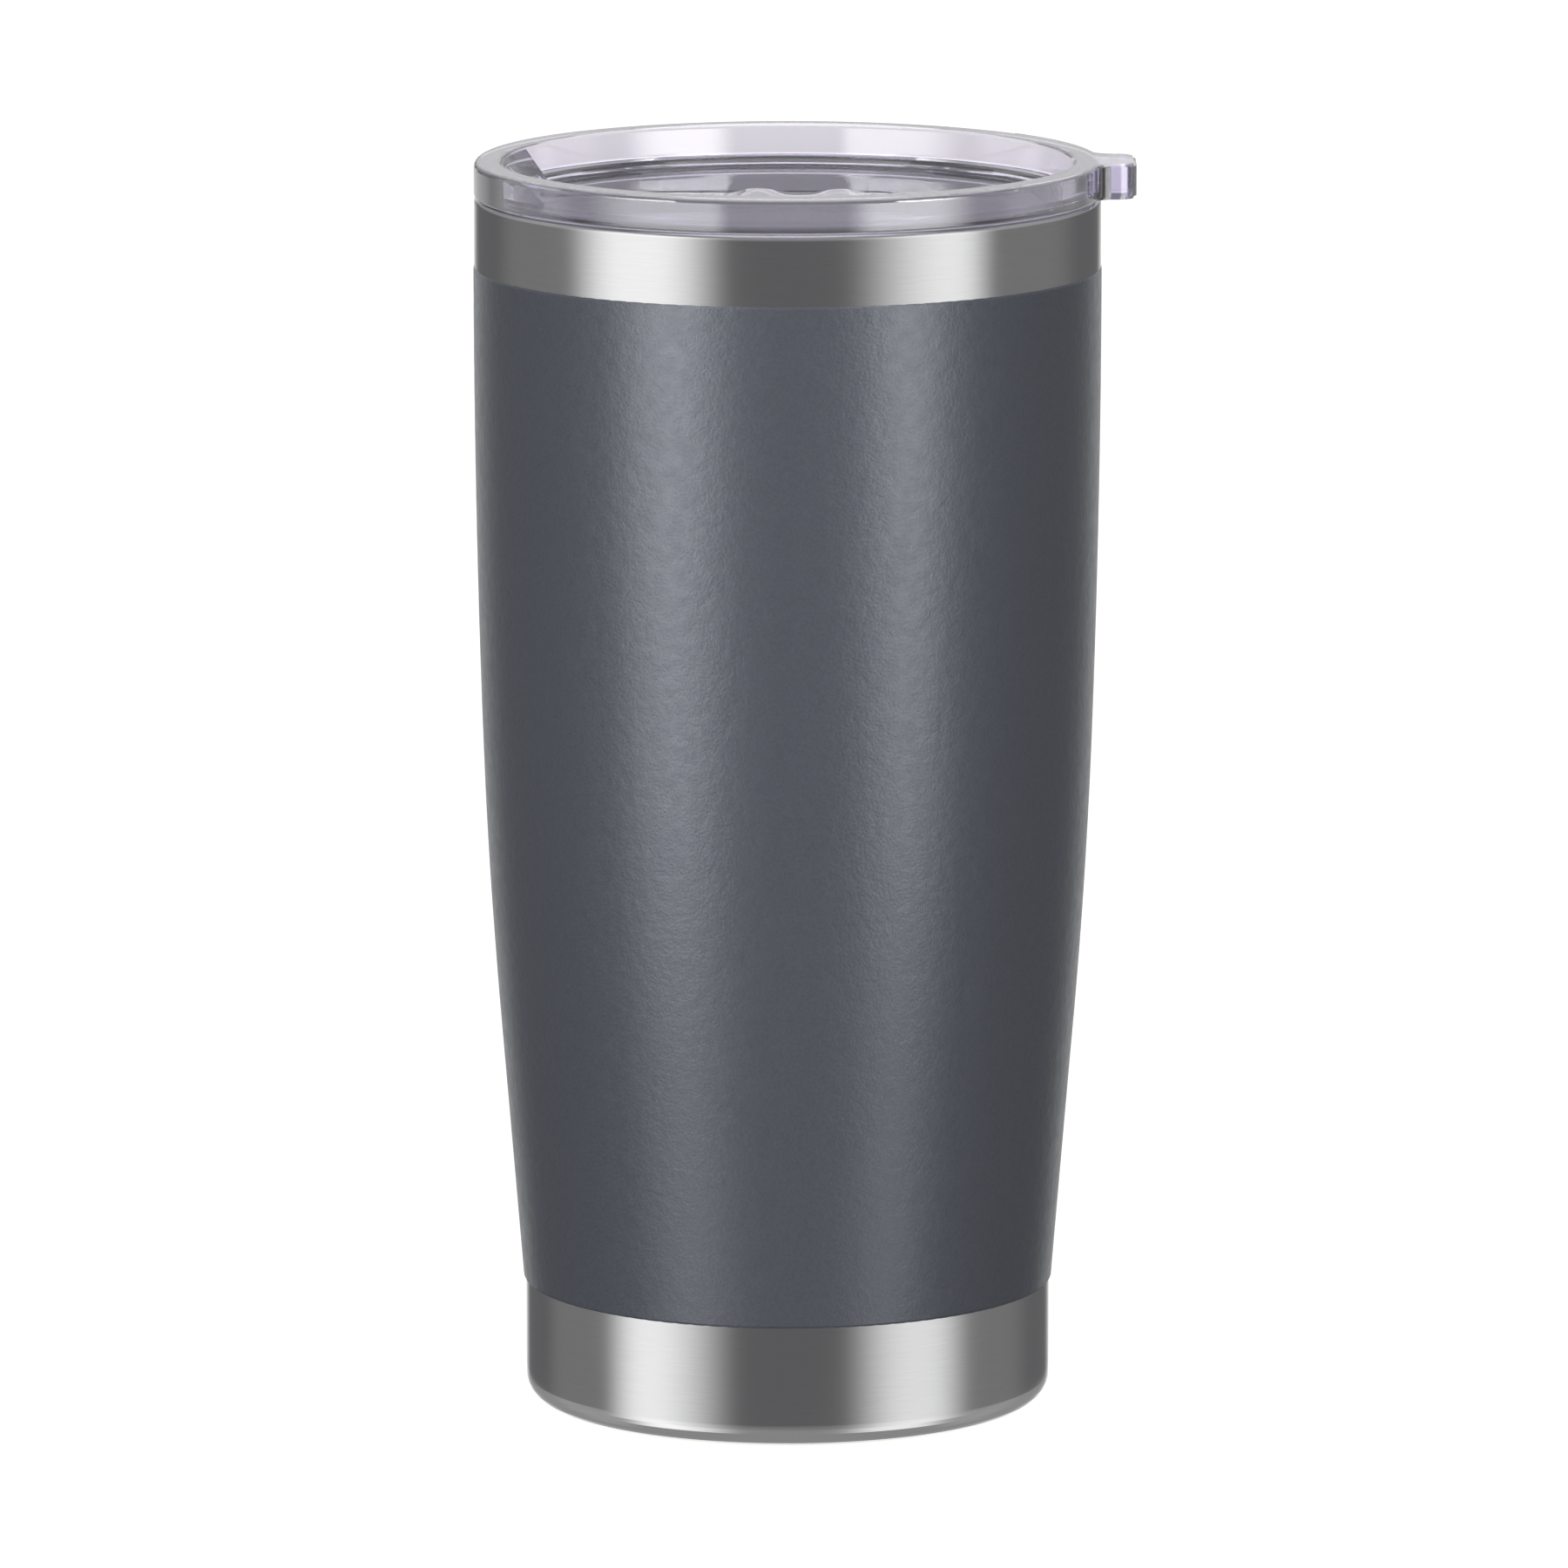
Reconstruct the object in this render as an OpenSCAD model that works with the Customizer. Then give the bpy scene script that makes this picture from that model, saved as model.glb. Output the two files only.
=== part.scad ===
// Double-wall vacuum tumbler with a clear press-in lid and a sliding sip closure.
// Millimetres, +Z up. The origin is the centre of the foot ring, on the table.
// +X points at the lid's lift tab and -X at its sip opening.

/* [Body] */
// Outside diameter of the steel at the rim
rim_d = 87.4; // [84:0.2:92]
// Outside diameter of the straight band at the base
base_d = 73.8; // [72:0.2:75]
// Height of the rim above the table
rim_h = 170.7; // [165:0.1:190]
// Height of the bare steel band at the base
base_band_h = 17.2; // [15:0.1:20]
// Height of the bare steel band below the rim
top_band_h = 9.8; // [8:0.1:20]
// Slope of the straight taper above the base band, in degrees
taper = 4.75; // [4.7:0.01:5]

/* [Walls] */
// Thickness of the powder coat
coat_t = 0.12; // [0.1:0.01:0.2]
// Wall thickness of the outer shell
shell_t = 0.5; // [0.4:0.05:0.6]
// Wall thickness of the liner
liner_t = 0.45; // [0.4:0.05:0.6]
// Width of the vacuum space between the shell and the liner
vacuum_gap = 4.6; // [4.2:0.1:5]

/* [Lid] */
// Height of the lid's flange above the rim
flange_h = 5; // [4.8:0.1:6]
// Depth of the recess in the lid's top
recess_h = 5.7; // [5.6:0.1:6.2]
// How far the plug reaches down into the mouth
plug_h = 10.5; // [10:0.1:12]
// How far the lift tab stands out from the flange
tab_out = 4.8; // [3.5:0.1:7]
// Width of the lift tab
tab_w = 12.4; // [9:0.2:18]

/* [Slider] */
// Length of the slider
slider_l = 38.5; // [36:0.1:38.5]
// Width of the slider's top
slider_w = 17.7; // [16:0.1:17.7]
// Height of the two thumb ridges above the recess floor
grip_h = 0.8; // [0.6:0.1:1.4]

/* [Hidden] */
$fn = 96;

steel = [0.72, 0.72, 0.72];
dark_grey = [0.30, 0.32, 0.36];
copper = [0.72, 0.45, 0.30];
clear_plastic = [0.86, 0.85, 0.90, 0.4];
clear_silicone = [0.93, 0.93, 0.95, 0.7];

// Body outline: a straight taper, then two tangent arcs up to the vertical band at the rim
rim_r = rim_d / 2;
base_r = base_d / 2;
upper_slope = 1.89;                       // slope where the two arcs meet, in degrees
straight_top = base_band_h + 37.8;        // the straight taper ends here
arcs_meet = straight_top + 42;
arcs_top = rim_h - top_band_h - 1.9;
upper_arc_r = (arcs_top - arcs_meet) / sin(upper_slope);
lower_arc_r = (arcs_meet - straight_top) / (sin(taper) - sin(upper_slope));
meet_r = rim_r - upper_arc_r * (1 - cos(upper_slope));
straight_top_r = meet_r - lower_arc_r * (cos(upper_slope) - cos(taper));
arc_steps = 12;

// Mouth and lip
mouth_r = rim_r - 2.1;                    // inside radius where the lid's gasket seals
lip_h = 1.2;                              // height of the rolled lip
lip_z = rim_h - lip_h;
lip_round = 0.75;
shoulder_top = rim_h - 13.5;              // the liner necks in below the mouth
shoulder_bottom = shoulder_top - 9;

// Liner bottom
liner_joint = 22;                         // the tube meets its bottom at this height
liner_floor = 12;                         // inner floor of the cup
liner_corner = 8.5;

// Base cup
cup_t = 0.6;
cup_corner = 3.3;
foot_inner_r = 27.6;                      // inside of the foot ring
foot_edge = 1;                            // rounding of the foot ring's inner edge
under_h = 2.5;                            // height of the recessed underside
spigot_h = 3;                             // lap inside the outer shell
spigot_clear = 0.1;
dimple_r = 5;
dimple_h = 1.2;
pinhole_r = 0.8;

// Lid levels and radii
lid_clear = 0.05;                         // flange to lip
flange_z = rim_h + lid_clear;
top_z = flange_z + flange_h;
floor_z = top_z - recess_h;
floor_t = 2;
lid_r = rim_r + 0.05;
ring_inner_r = lid_r - 3.9;
wall_foot_r = ring_inner_r - 0.4;
floor_fillet = 1.8;
plug_bottom = flange_z - plug_h;
plug_r = mouth_r - 0.8;
skirt_inner_r = plug_r - 2.6;
groove_r = plug_r - 1.3;
groove_z = [flange_z - 4.15, flange_z - 1.35];
plug_step = 0.5;                          // the plug is slimmer below its groove
spout_half_angle = 22;                    // the pouring ramp spans twice this
ramp_foot_r = 35.6;
ramp_top_r = ring_inner_r - 0.3;
ramp_top_z = top_z - 0.6;

// Slider channel: a T-slot sunk in the recess floor
channel_lip = 1;                          // thickness of the lips over the slider's flanges
channel_h = 2.05;
channel_x = [-34.6, 14.6];
channel_w = 18;
groove_w = channel_w + 2.4;
channel_z = floor_z - channel_h;
boss_t = 1.6;
sip_x = [-33, -26];
sip_w = 15;
sip_corner = 3;
vent_x = 27;
vent_r = 1.2;

// Slider, drawn open: its right-hand end stands at the channel's right-hand end
slide_clear = 0.1;
slider_x = [channel_x[1] - 0.3 - slider_l, channel_x[1] - 0.3];
grip_x = 1.7;                             // centre of the thumb grip
grip_l = 20;
grip_w = 12;
scoop_h = 0.1;
grip_tilt = -0.1;                         // the ridge nearer the tab stands lower
seal_x = [slider_x[0] + 0.6, slider_x[0] + 9.2];
seal_w = 16.6;
seal_t = 0.65;
pad_out = 0.05;                           // the pad stands this far out of the slider

// ---- functions ----

// Outside radius of the bare steel at height z above the base band
function steel_r(z) =
    z >= arcs_top ? rim_r
    : z >= arcs_meet ? upper_arc_at(z)
    : z >= straight_top ? lower_arc_at(z)
    : straight_top_r - tan(taper) * (straight_top - z);

function upper_arc_at(z) =
    let (a = asin((arcs_top - z) / upper_arc_r)) rim_r - upper_arc_r * (1 - cos(a));

function lower_arc_at(z) =
    let (a = asin(sin(upper_slope) + (arcs_meet - z) / lower_arc_r))
    meet_r - lower_arc_r * (cos(upper_slope) - cos(a));

// Heights between low and high at which the body outline needs a point
function stations(low, high) = concat(
    [low],
    [for (i = [0 : 2 * arc_steps])
        let (z = i < arc_steps
            ? straight_top + (arcs_meet - straight_top) * i / arc_steps
            : arcs_meet + (arcs_top - arcs_meet) * (i - arc_steps) / arc_steps)
        if (z > low + 0.5 && z < high - 0.5) z],
    [high]);

// Outside radius of the liner: it follows the shell, and necks out to the mouth
function liner_r(z) =
    let (wall = steel_r(z) - shell_t - vacuum_gap,
         t = min(1, max(0, (z - shoulder_bottom) / (shoulder_top - shoulder_bottom))))
    wall + (mouth_r + liner_t - wall) * t * t * (3 - 2 * t);

function liner_stations() = concat(
    stations(liner_joint, shoulder_bottom),
    [for (i = [1 : 8]) shoulder_bottom + (shoulder_top - shoulder_bottom) * i / 8]);

// Points on an arc about [x, y] from angle a0 to a1
function arc(x, y, r, a0, a1, n = 8) =
    [for (i = [0 : n]) let (a = a0 + (a1 - a0) * i / n) [x + r * cos(a), y + r * sin(a)]];

function reversed(list) = [for (i = [len(list) - 1 : -1 : 0]) list[i]];

// Height of the thumb grip's top along the slider, for u from -1 to 1: two ridges and a scoop
function grip_top(u) =
    let (wave = (grip_h + scoop_h - (grip_h - scoop_h) * cos(360 * u / 1.25)) / 2)
    (wave + grip_tilt * u) * (1 - pow(abs(u), 6));

// ---- steel body ----

// Outer shell: a formed tube from the base band up, rolled in at the top to make the drinking lip
module outer_shell() {
    zs = stations(base_band_h, lip_z);
    color(steel)
        rotate_extrude()
            polygon(concat(
                [for (z = zs) [steel_r(z), z]],
                arc(rim_r - lip_round, rim_h - lip_round, lip_round, 0, 90),
                arc(mouth_r + lip_round, rim_h - lip_round, lip_round, 90, 180),
                [[mouth_r, lip_z]],
                [for (z = reversed(zs)) [steel_r(z) - shell_t, z]]));
}

// Powder coat: a thin sleeve on the shell between the two bare bands
module powder_coat() {
    low = base_band_h;
    high = rim_h - top_band_h;
    edge = 0.3;                           // the coat thins out at both ends
    zs = stations(low + edge, high - edge);
    color(dark_grey)
        rotate_extrude()
            polygon(concat(
                [[steel_r(low), low]],
                [for (z = zs) [steel_r(z) + coat_t, z]],
                [[steel_r(high), high]],
                [for (z = reversed(zs)) [steel_r(z), z]]));
}

// Liner tube, necked out to the mouth and welded under the drinking lip
module inner_liner() {
    zs = liner_stations();
    color(steel)
        rotate_extrude()
            polygon(concat(
                [for (z = zs) [liner_r(z), z]],
                [[mouth_r + liner_t, lip_z], [mouth_r, lip_z]],
                [for (z = reversed(zs)) [liner_r(z) - liner_t, z]]));
}

// Dished bottom, welded to the liner tube
module liner_bottom() {
    r = liner_r(liner_joint);
    outer_corner = liner_corner + liner_t;
    corner_z = liner_floor + liner_corner;
    color(steel)
        rotate_extrude()
            polygon(concat(
                [[r - liner_t, liner_joint]],
                arc(r - outer_corner, corner_z, liner_corner, 0, -90, 12),
                [[0, liner_floor], [0, liner_floor - liner_t]],
                arc(r - outer_corner, corner_z, outer_corner, -90, 0, 12),
                [[r, liner_joint]]));
}

// Bright foil around the liner, which turns radiant heat back
module heat_foil() {
    foil_t = 0.15;
    foil_clear = 0.1;
    zs = stations(liner_joint + 4, shoulder_bottom - 4);
    color(copper)
        rotate_extrude()
            polygon(concat(
                [for (z = zs) [liner_r(z) + foil_clear + foil_t, z]],
                [for (z = reversed(zs)) [liner_r(z) + foil_clear, z]]));
}

// Base cup: band, rounded corner, foot ring and a recessed underside with the pump-out hole
module base_cup() {
    spigot_r = steel_r(base_band_h) - shell_t - spigot_clear;
    corner_x = base_r - cup_corner;
    inner_foot = foot_inner_r + cup_t;
    color(steel)
        rotate_extrude()
            polygon(concat(
                [[spigot_r, base_band_h + spigot_h], [spigot_r, base_band_h],
                 [base_r, base_band_h]],
                arc(corner_x, cup_corner, cup_corner, 0, -90),
                arc(foot_inner_r + foot_edge, foot_edge, foot_edge, -90, -180),
                [[foot_inner_r, under_h], [dimple_r, under_h],
                 [dimple_r - dimple_h, under_h + dimple_h],
                 [pinhole_r, under_h + dimple_h], [pinhole_r, under_h + dimple_h + cup_t],
                 [dimple_r - dimple_h + cup_t / 2, under_h + dimple_h + cup_t],
                 [dimple_r + cup_t / 2, under_h + cup_t], [inner_foot, under_h + cup_t]],
                arc(inner_foot + foot_edge - cup_t, foot_edge, foot_edge - cup_t, 180, 270, 4),
                arc(corner_x, cup_corner, cup_corner - cup_t, -90, 0),
                [[base_r - cup_t, base_band_h - cup_t],
                 [spigot_r - cup_t, base_band_h], [spigot_r - cup_t, base_band_h + spigot_h]]));
}

// Cover disc pressed into the underside, over the seal
module base_cover() {
    cover_r = foot_inner_r - 0.05;
    cover_z = 0.8;
    cover_t = 0.4;
    rim_up = 0.9;                         // upstand that grips the foot ring
    dish = 3;                             // width of the raised step around the rim
    color(steel)
        rotate_extrude()
            polygon([[0, cover_z + 0.3], [cover_r - dish - 0.6, cover_z + 0.3],
                     [cover_r - dish, cover_z], [cover_r - 0.4, cover_z],
                     [cover_r, cover_z + 0.4], [cover_r, cover_z + rim_up],
                     [cover_r - cover_t, cover_z + rim_up], [cover_r - cover_t, cover_z + cover_t],
                     [cover_r - dish + 0.1, cover_z + cover_t],
                     [cover_r - dish - 0.5, cover_z + cover_t + 0.3], [0, cover_z + cover_t + 0.3]]);
}

// Bead of sealing glass that closes the pump-out hole from below
module seal_bead() {
    bead_r = 2.6;
    top = under_h + dimple_h;
    edge = 0.7;
    color(clear_silicone)
        rotate_extrude()
            polygon(concat(
                [[0, top], [0, top - edge - 0.2]],
                arc(bead_r - edge, top - 0.2, edge, -90, 0),
                [[bead_r, top]]));
}

// Getter pellet, which keeps the vacuum clean, standing on the base cup inside the vacuum space
getter_x = 15;
getter_r = 4;
getter_h = 1.6;
getter_z = under_h + cup_t;

module getter_pellet() {
    color([0.35, 0.34, 0.33])
        translate([getter_x, 0, getter_z])
            cylinder(r = getter_r, h = getter_h);
}

// Strap welded over the getter pellet
module getter_clip() {
    strap_t = 0.3;
    strap_w = 5;
    leg_x = getter_r + 0.1;
    foot_l = 2.5;
    strap_z = getter_h + 0.05;
    color(steel)
        translate([getter_x, strap_w / 2, getter_z])
            rotate([90, 0, 0])
                linear_extrude(strap_w)
                    polygon([[-leg_x - foot_l, 0], [-leg_x, 0], [-leg_x, strap_z], [leg_x, strap_z],
                             [leg_x, 0], [leg_x + foot_l, 0], [leg_x + foot_l, strap_t],
                             [leg_x + strap_t, strap_t], [leg_x + strap_t, strap_z + strap_t],
                             [-leg_x - strap_t, strap_z + strap_t], [-leg_x - strap_t, strap_t],
                             [-leg_x - foot_l, strap_t]]);
}

// ---- lid ----

// Section of the round part of the lid: flange, recess wall, floor and grooved plug
module lid_section() {
    edge = 1;                             // top outer rounding
    inner_edge = 0.7;
    low_edge = 0.4;
    fillet_x = wall_foot_r - floor_fillet;
    polygon(concat(
        arc(lid_r - low_edge, flange_z + low_edge, low_edge, -90, 0, 4),
        arc(lid_r - edge, top_z - edge, edge, 0, 90),
        arc(ring_inner_r + inner_edge, top_z - inner_edge, inner_edge, 90, 180, 6),
        arc(fillet_x, floor_z + floor_fillet, floor_fillet, 0, -90),
        [[0, floor_z], [0, floor_z - floor_t], [skirt_inner_r - 0.8, floor_z - floor_t],
         [skirt_inner_r, floor_z - floor_t - 0.8],
         [skirt_inner_r + 0.3, plug_bottom + 0.4], [skirt_inner_r + 0.7, plug_bottom],
         [plug_r - 2 * plug_step, plug_bottom], [plug_r - plug_step, plug_bottom + 0.6],
         [plug_r - plug_step, groove_z[0]], [groove_r, groove_z[0]],
         [groove_r, groove_z[1]], [plug_r, groove_z[1]], [plug_r, flange_z]]));
}

// A bar with round corners from x[0] to x[1], centred on Y, as a flat outline
module bar(x, w, corner) {
    translate([x[0] + corner, -w / 2])
        square([x[1] - x[0] - 2 * corner, w]);
    translate([x[0], -w / 2 + corner])
        square([x[1] - x[0], w - 2 * corner]);
    for (px = [x[0] + corner, x[1] - corner], py = [-w / 2 + corner, w / 2 - corner])
        translate([px, py])
            circle(corner);
}

// Lift tab: the flange's outline with a rounded ear, blended in by fillets
module tab_outline(inset = 0) {
    blend = 2.5;
    corner = 2.8;
    root = 8;                             // how far the ear reaches into the flange
    kept = 12;                            // how much of the disc is kept beside the ear
    plenty = 50;
    offset(delta = -inset)
        offset(r = -blend)
            offset(r = blend)
                difference() {
                    union() {
                        circle(lid_r, $fn = 192);
                        bar([lid_r - root, lid_r + tab_out], tab_w, corner);
                    }
                    translate([-lid_r - plenty, -plenty])
                        square([2 * lid_r + plenty - kept, 2 * plenty]);
                }
}

module lift_tab() {
    edge = 0.4;
    tab_lap = 1.2;                        // overlap with the flange
    difference() {
        union() {
            translate([0, 0, flange_z + edge])
                linear_extrude(flange_h - 2 * edge)
                    tab_outline();
            translate([0, 0, flange_z])
                linear_extrude(flange_h)
                    tab_outline(edge);
        }
        translate([0, 0, flange_z - 1])
            cylinder(r = lid_r - tab_lap, h = flange_h + 2);
    }
}

// Ramp that leads the drink from the sip opening up to the rim
module spout_ramp() {
    into_floor = 0.5;
    into_ring = 1;
    rotate([0, 0, 180 - spout_half_angle])
        rotate_extrude(angle = 2 * spout_half_angle)
            polygon([[ramp_foot_r, floor_z - into_floor],
                     [ring_inner_r + into_ring, floor_z - into_floor],
                     [ring_inner_r + into_ring, ramp_top_z], [ramp_top_r, ramp_top_z],
                     [ramp_foot_r, floor_z]]);
}

// Hollow under the ramp, open from below, which leaves the ramp one even wall thick
module ramp_hollow() {
    wall = 1.2;
    half_angle = spout_half_angle - 2;
    inner_r = ramp_foot_r + 0.7;
    outer_r = skirt_inner_r - 0.1;
    open_z = channel_z - boss_t - 1;
    rise = (ramp_top_z - floor_z) / (ramp_top_r - ramp_foot_r);
    drop = wall * sqrt(1 + rise * rise);
    rotate([0, 0, 180 - half_angle])
        rotate_extrude(angle = 2 * half_angle)
            polygon(concat(
                [[inner_r, open_z], [outer_r, open_z]],
                [for (r = [outer_r, inner_r]) [r, floor_z + rise * (r - ramp_foot_r) - drop]]));
}

// Thicker floor under the slider channel
module channel_boss() {
    wall = 1.8;
    boss_x = [channel_x[0] - wall, channel_x[1] + wall];
    translate([0, 0, channel_z - boss_t])
        linear_extrude(channel_h + boss_t - 0.5)
            intersection() {
                bar([boss_x[0] - 4, boss_x[1]], groove_w + 2 * wall, 3);
                circle(skirt_inner_r + 0.6, $fn = 192);
            }
}

module lid() {
    color(clear_plastic)
        difference() {
            union() {
                rotate_extrude()
                    lid_section();
                lift_tab();
                spout_ramp();
                channel_boss();
            }
            translate([0, 0, floor_z - channel_lip - 0.01])
                linear_extrude(channel_lip + 1)
                    bar(channel_x, channel_w, 2.2);
            translate([0, 0, channel_z])
                linear_extrude(channel_h - channel_lip)
                    bar(channel_x, groove_w, 2.2);
            translate([0, 0, channel_z - boss_t - 1])
                linear_extrude(boss_t + 2)
                    bar(sip_x, sip_w, sip_corner);
            translate([vent_x, 0, floor_z - floor_t - 1])
                cylinder(r = vent_r, h = floor_t + 2);
            ramp_hollow();
        }
}

// Silicone ring in the plug's groove, with two sealing fins
module lid_gasket() {
    gap = 0.15;                           // to the groove and to the mouth
    band_r = groove_r + 1.25;
    fin_r = mouth_r - gap;
    fin_t = 0.8;
    fin_tip = 0.3;
    low = groove_z[0] + gap;
    high = groove_z[1] - gap;
    fins = [low + 0.3, low + 1.5];
    color(clear_silicone)
        rotate_extrude()
            polygon(concat(
                [[groove_r + gap, low], [band_r, low]],
                [for (z = fins) each concat(
                    [[band_r, z]],
                    arc(fin_r - fin_tip, z + fin_t / 2 + 0.2, fin_tip, -60, 60, 4),
                    [[band_r, z + fin_t]])],
                [[band_r, high], [groove_r + gap, high]]));
}

// ---- slider ----

module slider() {
    low = channel_z + slide_clear;
    flange_t = channel_h - channel_lip - 2 * slide_clear;
    flange_w = groove_w - 0.4;
    color(clear_plastic)
        difference() {
            union() {
                translate([0, 0, low])
                    linear_extrude(flange_t)
                        bar(slider_x, flange_w, 2);
                translate([0, 0, low])
                    linear_extrude(floor_z - slide_clear - low)
                        bar(slider_x, slider_w, 2);
                thumb_grip(floor_z - 0.5);
            }
            translate([0, 0, low - 1])
                linear_extrude(1 + seal_t - pad_out)
                    bar(seal_x, seal_w, 2);
        }
}

// Thumb grip: two ridges with a scoop between them
module thumb_grip(foot) {
    steps = 32;
    translate([grip_x, grip_w / 2, floor_z])
        rotate([90, 0, 0])
            linear_extrude(grip_w)
                polygon(concat(
                    [[-grip_l / 2, foot - floor_z]],
                    [for (i = [0 : steps]) let (u = 2 * i / steps - 1) [u * grip_l / 2, grip_top(u)]],
                    [[grip_l / 2, foot - floor_z]]));
}

// Silicone pad in the slider's underside, which lies over the sip opening when closed
module slider_seal() {
    fit = 0.05;
    color(clear_silicone)
        translate([0, 0, channel_z + slide_clear - pad_out])
            linear_extrude(seal_t)
                bar([seal_x[0] + fit, seal_x[1] - fit], seal_w - 2 * fit, 2 - fit);
}

outer_shell();
powder_coat();
inner_liner();
liner_bottom();
heat_foil();
base_cup();
base_cover();
getter_pellet();
getter_clip();
seal_bead();
lid();
lid_gasket();
slider();
slider_seal();
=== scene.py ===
"""Looks for the insulated tumbler with a clear press-in lid. Everything is in metres, in the CAD's frame."""
import math

import bpy
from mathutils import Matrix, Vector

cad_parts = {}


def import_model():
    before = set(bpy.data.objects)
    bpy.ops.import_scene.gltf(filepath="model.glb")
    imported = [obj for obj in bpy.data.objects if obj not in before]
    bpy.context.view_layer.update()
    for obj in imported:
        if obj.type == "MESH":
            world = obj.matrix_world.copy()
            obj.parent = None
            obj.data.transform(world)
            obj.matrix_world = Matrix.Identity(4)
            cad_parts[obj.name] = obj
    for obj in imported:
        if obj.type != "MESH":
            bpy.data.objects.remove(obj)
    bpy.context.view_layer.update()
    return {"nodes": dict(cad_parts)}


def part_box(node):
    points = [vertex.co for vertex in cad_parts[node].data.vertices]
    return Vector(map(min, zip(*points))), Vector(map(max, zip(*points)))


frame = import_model()
MM = 0.001

# sockets of the Mix node when it mixes colours
MIX_A, MIX_B, MIX_RESULT = 6, 7, 2


# ---- node helpers ----

def new_material(name):
    """An empty material with an output, and its tree."""
    mat = bpy.data.materials.new(name)
    mat.use_nodes = True
    tree = mat.node_tree
    tree.nodes.clear()
    tree.nodes.new("ShaderNodeOutputMaterial")
    return mat, tree


def add(tree, kind, links=None, **values):
    """One node with its sockets set from values or linked from other nodes' sockets."""
    node = tree.nodes.new(kind)
    for key, value in values.items():
        if hasattr(node, key):
            setattr(node, key, value)
        else:
            node.inputs[key.replace("_", " ")].default_value = value
    for key, socket in (links or {}).items():
        tree.links.new(socket, node.inputs[key])
    return node


def output(tree):
    """The tree's output node."""
    return next(n for n in tree.nodes if n.type == "OUTPUT_MATERIAL")


def principled(tree, links=None, **values):
    """A Principled shader joined to the output; a name's underscores stand for a socket's spaces."""
    shader = add(tree, "ShaderNodeBsdfPrincipled", links)
    for key, value in values.items():
        shader.inputs[key.replace("_", " ")].default_value = value
    tree.links.new(shader.outputs["BSDF"], output(tree).inputs["Surface"])
    return shader


def noise(tree, scale, stretch=(1, 1, 1), detail=2.0, rough=0.5):
    """Noise in object space, in features per metre, squeezed along each axis by stretch."""
    place = add(tree, "ShaderNodeTexCoord")
    mapping = add(tree, "ShaderNodeMapping", {"Vector": place.outputs["Object"]})
    mapping.inputs["Scale"].default_value = stretch
    tex = add(tree, "ShaderNodeTexNoise", {"Vector": mapping.outputs["Vector"]})
    tex.inputs["Scale"].default_value = scale
    tex.inputs["Detail"].default_value = detail
    tex.inputs["Roughness"].default_value = rough
    return tex.outputs["Fac"]


def ranged(tree, socket, low, high):
    """socket's 0.3 to 0.7 mapped to low to high."""
    node = add(tree, "ShaderNodeMapRange", {"Value": socket})
    node.inputs["From Min"].default_value = 0.3
    node.inputs["From Max"].default_value = 0.7
    node.inputs["To Min"].default_value = low
    node.inputs["To Max"].default_value = high
    return node.outputs["Result"]


def faded(tree, socket, start, end):
    """A smooth rise from 0 at start to 1 at end."""
    node = add(tree, "ShaderNodeMapRange", {"Value": socket})
    node.interpolation_type = "SMOOTHSTEP"
    node.inputs["From Min"].default_value = start
    node.inputs["From Max"].default_value = end
    return node.outputs["Result"]


def mixed(tree, fac, dark, light):
    """The colour that goes from dark at fac 0 to light at fac 1."""
    node = tree.nodes.new("ShaderNodeMix")
    node.data_type = "RGBA"
    tree.links.new(fac, node.inputs["Factor"])
    node.inputs[MIX_A].default_value = (*dark, 1)
    node.inputs[MIX_B].default_value = (*light, 1)
    return node.outputs[MIX_RESULT]


def bump(tree, height, distance, normal=None):
    """Bumps that stand distance high, on top of another bump's normal if one is given."""
    node = add(tree, "ShaderNodeBump", {"Height": height})
    node.inputs["Distance"].default_value = distance
    node.inputs["Strength"].default_value = 1.0
    if normal:
        tree.links.new(normal, node.inputs["Normal"])
    return node.outputs["Normal"]


# ---- materials ----

TOP_CLEAR = 0.62                          # how clear the scuffed top of the lid still is
SCUFF_START = 0.5 * MM                    # the scuffs fade in from this far below the lid's top
SCUFF_FULL = 0.05 * MM                    # and are full this far below it
PLASTIC_IOR = 1.54
SILICONE_IOR = 1.41
LAVENDER = (0.12, 0.05, 0.31, 1)          # what thick plastic lets through
LAVENDER_DENSITY = 100.0


def steel_material(name, roughs):
    """Satin stainless steel with fine turning lines round the body and faint handling wear."""
    mat, tree = new_material(name)
    lines = noise(tree, 220, (1, 1, 40), 3)
    cloud = noise(tree, 28, detail=3)
    rough = ranged(tree, cloud, *roughs)
    colour = mixed(tree, ranged(tree, lines, 0, 1), (0.63, 0.63, 0.63), (0.66, 0.66, 0.66))
    normal = bump(tree, lines, 0.0006 * MM)
    principled(tree, {"Roughness": rough, "Base Color": colour, "Normal": normal}, Metallic=1.0)
    return mat


def coat_material():
    """Dark slate powder coat: a fine grain over a slight orange peel."""
    mat, tree = new_material("powder_coat")
    grain = noise(tree, 2600, detail=2)
    peel = noise(tree, 600, detail=1)
    colour = mixed(tree, ranged(tree, grain, 0, 1), (0.0505, 0.0535, 0.0605), (0.062, 0.0655, 0.0735))
    normal = bump(tree, grain, 0.03 * MM, normal=bump(tree, peel, 0.04 * MM))
    rough = ranged(tree, peel, 0.33, 0.38)
    principled(tree, {"Roughness": rough, "Base Color": colour, "Normal": normal})
    return mat


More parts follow.
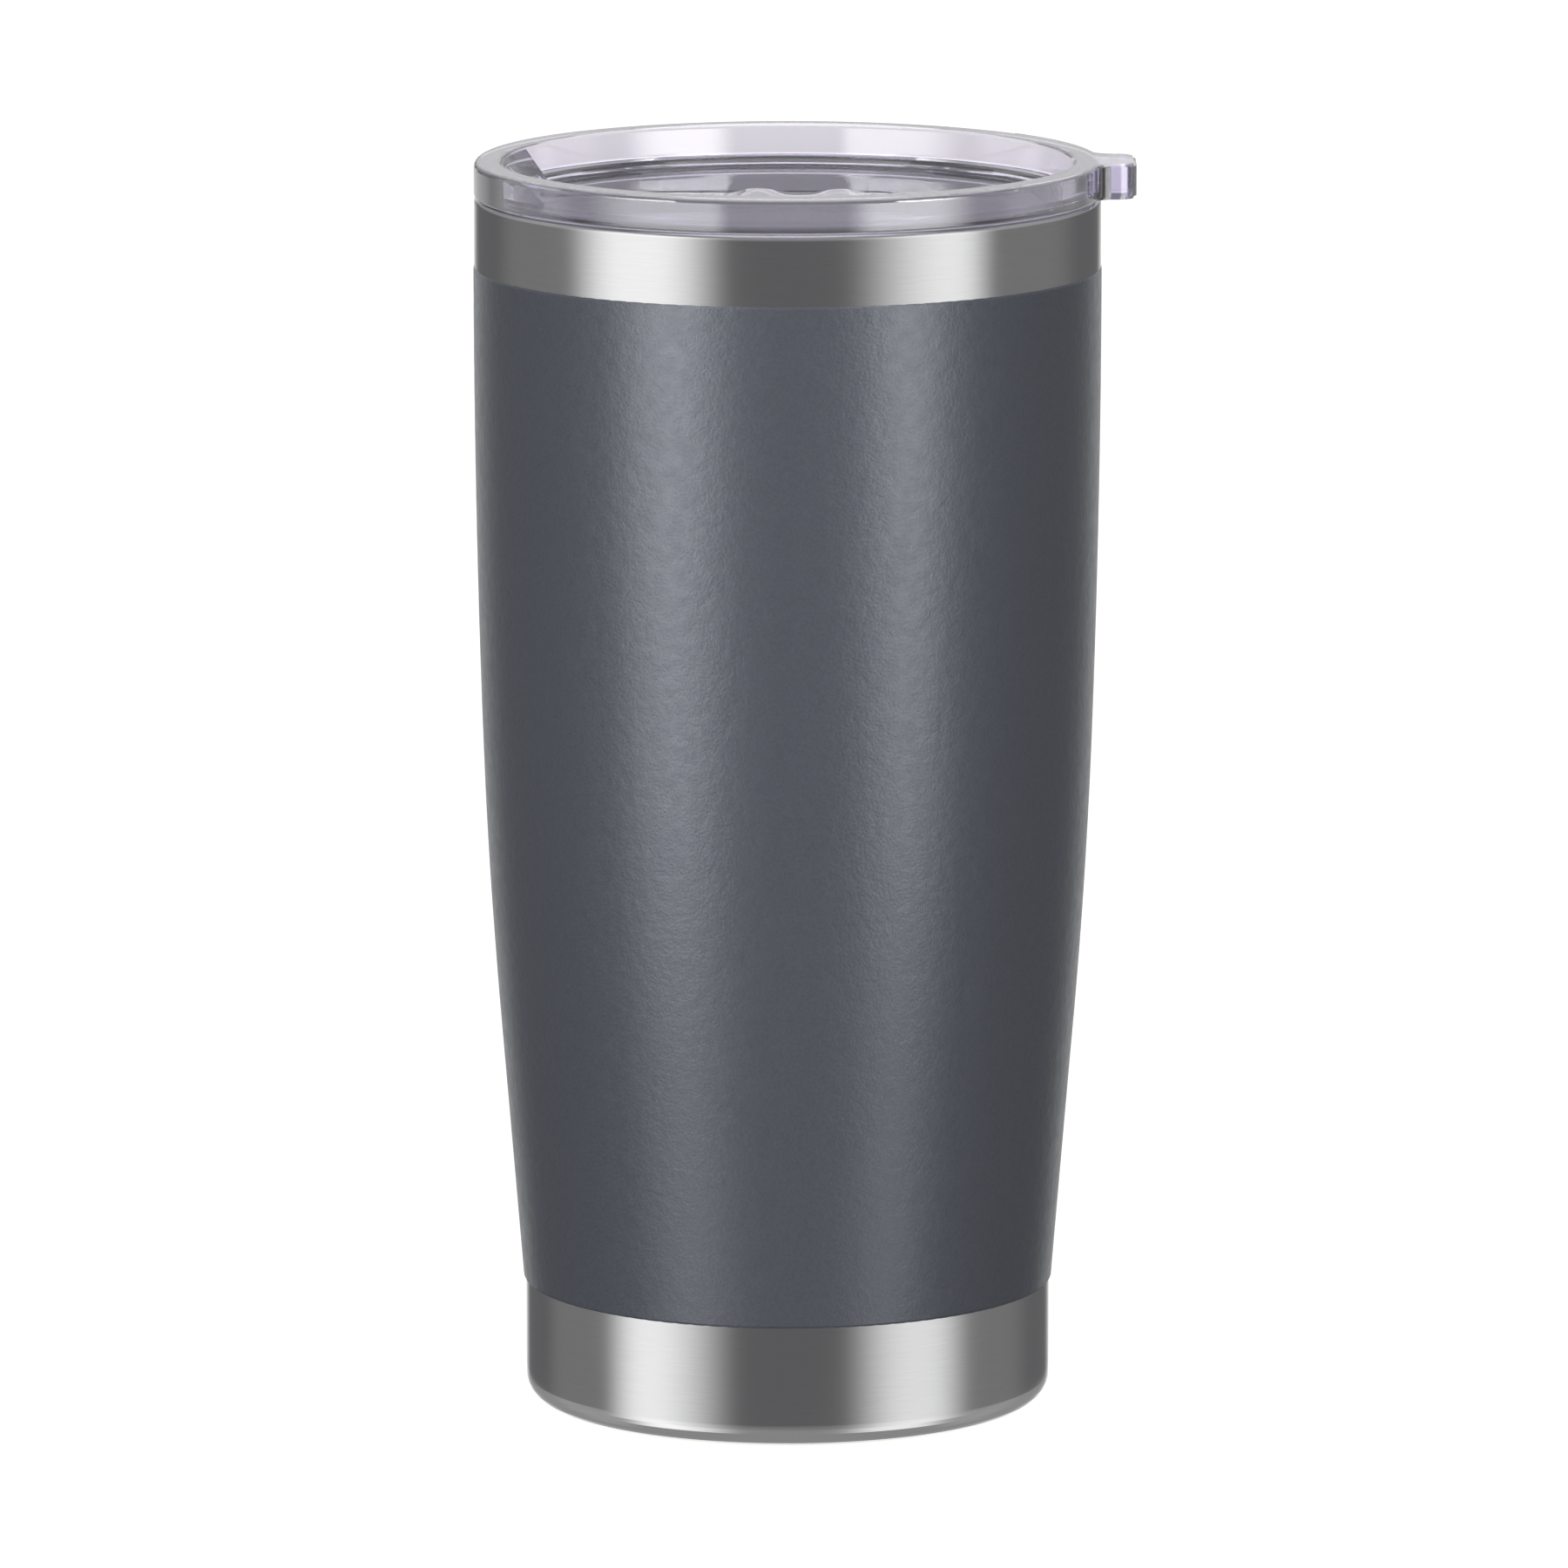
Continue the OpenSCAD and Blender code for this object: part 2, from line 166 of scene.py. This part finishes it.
def clear_material(name, haze):
    """Clear copolyester with a lavender tint, moulding waves, and fine scuffs on its topmost faces.

    haze is how much of the light the plastic scatters where it isn't scuffed."""
    mat, tree = new_material(name)
    wave = noise(tree, 90, detail=1)
    scuff = noise(tree, 1600, detail=3)
    lid_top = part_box("lid")[1][2]
    place = add(tree, "ShaderNodeTexCoord")
    split = add(tree, "ShaderNodeSeparateXYZ", {"Vector": place.outputs["Object"]})
    top = faded(tree, split.outputs["Z"], lid_top - SCUFF_START, lid_top - SCUFF_FULL)
    worn = add(tree, "ShaderNodeMath", {0: top, 1: ranged(tree, scuff, 0.75, 1)}, operation="MULTIPLY")
    clear = add(tree, "ShaderNodeMapRange", {"Value": worn.outputs[0]})
    clear.inputs["To Min"].default_value = 1 - haze
    clear.inputs["To Max"].default_value = TOP_CLEAR
    tint = mixed(tree, worn.outputs[0], (0.91, 0.903, 0.927), (0.922, 0.918, 0.93))
    principled(
        tree, {"Normal": bump(tree, wave, 0.01 * MM), "Roughness": ranged(tree, wave, 0.01, 0.04),
               "Transmission Weight": clear.outputs["Result"], "Base Color": tint}, IOR=PLASTIC_IOR)
    depth = add(tree, "ShaderNodeVolumeAbsorption", Color=LAVENDER, Density=LAVENDER_DENSITY)
    tree.links.new(depth.outputs["Volume"], output(tree).inputs["Volume"])
    return mat


def silicone_material():
    """Translucent silicone."""
    mat, tree = new_material("silicone")
    cloud = noise(tree, 300)
    principled(tree, {"Roughness": ranged(tree, cloud, 0.40, 0.55),
                      "Base Color": mixed(tree, cloud, (0.80, 0.80, 0.82), (0.88, 0.88, 0.90))},
               Transmission_Weight=0.9, IOR=SILICONE_IOR)
    return mat


def foil_material():
    """Bright creased copper foil."""
    mat, tree = new_material("foil")
    crease = noise(tree, 140, detail=4)
    principled(tree, {"Normal": bump(tree, crease, 0.2 * MM), "Roughness": ranged(tree, crease, 0.15, 0.3)},
               Metallic=1.0, Base_Color=(0.72, 0.40, 0.26, 1))
    return mat


def getter_material():
    """Dark pressed metal powder."""
    mat, tree = new_material("getter")
    grain = noise(tree, 3000)
    principled(tree, {"Normal": bump(tree, grain, 0.05 * MM),
                      "Base Color": mixed(tree, grain, (0.10, 0.10, 0.10), (0.18, 0.17, 0.16))},
               Roughness=0.8)
    return mat


def glass_bead_material():
    """Cloudy green sealing glass."""
    mat, tree = new_material("seal_glass")
    cloud = noise(tree, 500)
    principled(tree, {"Base Color": mixed(tree, cloud, (0.30, 0.38, 0.35), (0.42, 0.50, 0.47))},
               Roughness=0.15, Transmission_Weight=0.4)
    return mat


def dress_cad():
    """Gives each CAD node its material."""
    looks = {
        steel_material("steel", (0.15, 0.22)): ["outer_shell", "base_cup", "base_cover", "getter_clip"],
        steel_material("liner_steel", (0.34, 0.42)): ["inner_liner", "liner_bottom"],
        coat_material(): ["powder_coat"],
        clear_material("clear_plastic", 0.05): ["lid"],
        clear_material("slider_plastic", 0.25): ["slider"],
        silicone_material(): ["lid_gasket", "slider_seal"],
        foil_material(): ["heat_foil"],
        getter_material(): ["getter_pellet"],
        glass_bead_material(): ["seal_bead"],
    }
    for mat, names in looks.items():
        for name in names:
            for slot in frame["nodes"][name].material_slots:
                slot.material = mat


# ---- stage ----

FLOOR_R = 6.0
FLOOR_GLOW = (1, 0.985, 0.925, 1)
FLOOR_GLOW_STRENGTH = 0.87
BACKDROP_R = 9.0
SOFTBOX_FAR = 1.1                         # from the tumbler's axis to each softbox
FULL = (-1.3, 1.1)                        # bottom and top of a softbox that spans the whole body
COOL = (0.95, 0.985, 1.06)                # tint of the coat's brighter lights

# the groups of nodes that have lights of their own
COAT = ["powder_coat"]
CLEAR = ["lid", "slider", "lid_gasket", "slider_seal"]
LINER = ["inner_liner", "liner_bottom"]
INSIDE = CLEAR + LINER
BASE = ["base_cup", "base_cover", "seal_bead"]
STEEL = [name for name in frame["nodes"] if name not in COAT + INSIDE + BASE]


def emission(name, colour, strength):
    """A material that only glows."""
    mat, tree = new_material(name)
    glow = add(tree, "ShaderNodeEmission", Color=(*colour, 1), Strength=strength)
    tree.links.new(glow.outputs["Emission"], output(tree).inputs["Surface"])
    return mat


def disc(name, radius, z):
    """A flat round sheet about the axis."""
    bpy.ops.mesh.primitive_circle_add(vertices=96, radius=radius, fill_type="NGON", location=(0, 0, z))
    obj = bpy.context.object
    obj.name = name
    return obj


def floor():
    """A pale glowing floor, which is clear when it's looked at from below."""
    obj = disc("floor", FLOOR_R, 0)
    mat, tree = new_material("floor")
    glow = add(tree, "ShaderNodeEmission", Color=FLOOR_GLOW, Strength=FLOOR_GLOW_STRENGTH)
    paint = add(tree, "ShaderNodeBsdfDiffuse", Color=(0.8, 0.8, 0.8, 1))
    both = add(tree, "ShaderNodeAddShader")
    tree.links.new(glow.outputs[0], both.inputs[0])
    tree.links.new(paint.outputs[0], both.inputs[1])
    clear = add(tree, "ShaderNodeBsdfTransparent")
    side = add(tree, "ShaderNodeNewGeometry")
    pick = add(tree, "ShaderNodeMixShader")
    tree.links.new(side.outputs["Backfacing"], pick.inputs[0])
    tree.links.new(both.outputs[0], pick.inputs[1])
    tree.links.new(clear.outputs[0], pick.inputs[2])
    tree.links.new(pick.outputs[0], output(tree).inputs["Surface"])
    obj.data.materials.append(mat)
    obj.visible_glossy = False
    obj.visible_diffuse = False


def backdrop():
    """A white dome that only the camera sees."""
    bpy.ops.mesh.primitive_uv_sphere_add(segments=48, ring_count=24, radius=BACKDROP_R)
    obj = bpy.context.object
    obj.name = "backdrop"
    obj.data.materials.append(emission("backdrop", (1, 1, 1), 1.0))
    obj.visible_glossy = False
    obj.visible_diffuse = False
    obj.visible_transmission = False
    obj.visible_shadow = False


def softbox(name, azimuths, plateau, radiance, heights, lights, tint=(1, 1, 1)):
    """An upright light that spans azimuths and fades out on both sides of its plateau.

    Azimuths are in degrees from the camera's side, positive to the right.
    lights names the CAD nodes that it shines on."""
    low, high = azimuths
    middle = math.radians((low + high) / 2)
    half = math.tan(math.radians((high - low) / 2))
    lamp = bpy.data.lights.new(name, "AREA")
    lamp.shape = "RECTANGLE"
    lamp.size = 2 * SOFTBOX_FAR * half
    lamp.size_y = heights[1] - heights[0]
    lamp.energy = math.pi * lamp.size * lamp.size_y * radiance
    lamp.color = tint
    lamp.use_nodes = True
    tree = lamp.node_tree
    glow = next(n for n in tree.nodes if n.type == "EMISSION")
    place = add(tree, "ShaderNodeNewGeometry")
    split = add(tree, "ShaderNodeSeparateXYZ", {"Vector": place.outputs["Parametric"]})
    across = [0.5 + 0.5 * math.tan(math.radians(a) - middle) / half for a in (low, *plateau, high)]
    rise = faded(tree, split.outputs["X"], across[0], across[1])
    fall = faded(tree, split.outputs["X"], across[3], across[2])
    both = add(tree, "ShaderNodeMath", {0: rise, 1: fall}, operation="MULTIPLY")
    tree.links.new(both.outputs[0], glow.inputs["Strength"])
    obj = bpy.data.objects.new(name, lamp)
    bpy.context.collection.objects.link(obj)
    obj.location = (SOFTBOX_FAR * math.sin(middle), -SOFTBOX_FAR * math.cos(middle), sum(heights) / 2)
    obj.rotation_euler = (math.pi / 2, 0, middle)
    obj.visible_camera = False
    link_light(obj, lights)


def level_light(name, height, size, radiance, lights, up=False):
    """A round light centred over the object, or under it, that shines straight down or straight up."""
    lamp = bpy.data.lights.new(name, "AREA")
    lamp.shape = "DISK"
    lamp.size = size
    lamp.energy = math.pi ** 2 * size ** 2 / 4 * radiance
    obj = bpy.data.objects.new(name, lamp)
    bpy.context.collection.objects.link(obj)
    obj.location = (0, 0, height)
    obj.rotation_euler = (math.pi if up else 0, 0, 0)
    obj.visible_camera = False
    link_light(obj, lights)


def link_light(obj, lights):
    """Makes a light shine only on the CAD nodes named in lights."""
    group = bpy.data.collections.new(obj.name + "_lights")
    for node in lights:
        group.objects.link(frame["nodes"][node])
    obj.light_linking.receiver_collection = group


def world():
    """A dim grey studio, a little lighter above the horizon."""
    w = bpy.data.worlds.new("world")
    bpy.context.scene.world = w
    w.use_nodes = True
    tree = w.node_tree
    sky = tree.nodes["Background"]
    place = add(tree, "ShaderNodeTexCoord")
    split = add(tree, "ShaderNodeSeparateXYZ", {"Vector": place.outputs["Generated"]})
    up = faded(tree, split.outputs["Z"], -0.02, 0.16)
    tree.links.new(mixed(tree, up, (0.15, 0.15, 0.155), (0.35, 0.35, 0.36)), sky.inputs["Color"])


# ---- camera ----

LENS = 303.24
CAMERA_AT = (-0.0005, -1.8269, 0.4075)
CAMERA_DOWN = 9.94                        # degrees below level


def camera():
    """The camera at the photo's angle."""
    cam = bpy.data.cameras.new("camera")
    cam.lens = LENS
    cam.sensor_width = 36
    cam.clip_end = 50
    obj = bpy.data.objects.new("camera", cam)
    bpy.context.collection.objects.link(obj)
    obj.location = CAMERA_AT
    obj.rotation_euler = (math.radians(90 - CAMERA_DOWN), 0, 0)
    bpy.context.scene.camera = obj


# ---- lights ----

def studio_lights():
    """Each group's lights: name, azimuths, plateau, radiance, heights, the nodes lit, and a tint."""
    softbox("steel_left", (-89, -19), (-63, -48), 1.2, FULL, STEEL)
    softbox("steel_right", (19, 83), (60, 64), 1.1, FULL, STEEL)
    softbox("base_left", (-89, -19), (-66, -62), 1.15, FULL, BASE)
    softbox("base_right", (22, 89), (54, 64), 0.97, FULL, BASE)
    softbox("steel_far_left", (-135, -70), (-115, -95), 0.09, FULL, STEEL + BASE)
    softbox("steel_far_right", (70, 135), (90, 110), 0.09, FULL, STEEL + BASE)
    softbox("steel_back", (158, 202), (172, 188), 0.85, FULL, STEEL + BASE)
    softbox("coat_left", (-66, -22), (-43, -38), 8.6, (-0.22, 1.1), COAT, COOL)
    softbox("coat_right", (26, 61), (41, 46), 8.2, (-0.22, 1.1), COAT, COOL)
    softbox("coat_left_low", (-66, -22), (-43, -38), 4.0, (-1.3, -0.5), COAT, COOL)
    softbox("coat_right_low", (26, 61), (41, 46), 4.0, (-1.3, -0.5), COAT, COOL)
    softbox("coat_back", (136, 224), (160, 200), 0.8, (-0.4, 1.1), COAT)
    softbox("coat_back_key", (163, 197), (175, 185), 6.0, FULL, COAT, COOL)
    softbox("lid_left", (-80, -20), (-52, -28), 4.9, (-0.2, 0.36), INSIDE)
    softbox("lid_right", (20, 74), (34, 52), 6.8, (-0.2, 0.36), INSIDE)
    softbox("lid_left_high", (-80, -20), (-52, -28), 15.0, (0.55, 0.65), CLEAR)
    softbox("lid_right_high", (20, 74), (34, 52), 23.0, (0.55, 0.65), CLEAR)
    softbox("lid_back", (130, 230), (150, 210), 0.25, (0.2, 1.7), CLEAR)
    softbox("lid_rims", (130, 230), (145, 215), 0.7, (-0.7, 0.15), CLEAR)
    softbox("lid_side_left", (-140, -80), (-125, -95), 1.3, (-0.6, 1.1), CLEAR)
    softbox("lid_side_right", (80, 140), (95, 125), 1.1, (-0.6, 1.1), CLEAR)
    softbox("liner_fill", (-60, 60), (-30, 30), 1.2, (0.3, 1.5), LINER)
    level_light("lid_top", 1.5, 1.6, 2.2, CLEAR)
    level_light("liner_top", 1.5, 1.6, 1.2, LINER)
    level_light("base_edge", 0.3 * MM, 0.086, 0.2, BASE, up=True)


dress_cad()
floor()
backdrop()
studio_lights()
world()
camera()
bpy.context.scene.view_settings.view_transform = "Standard"
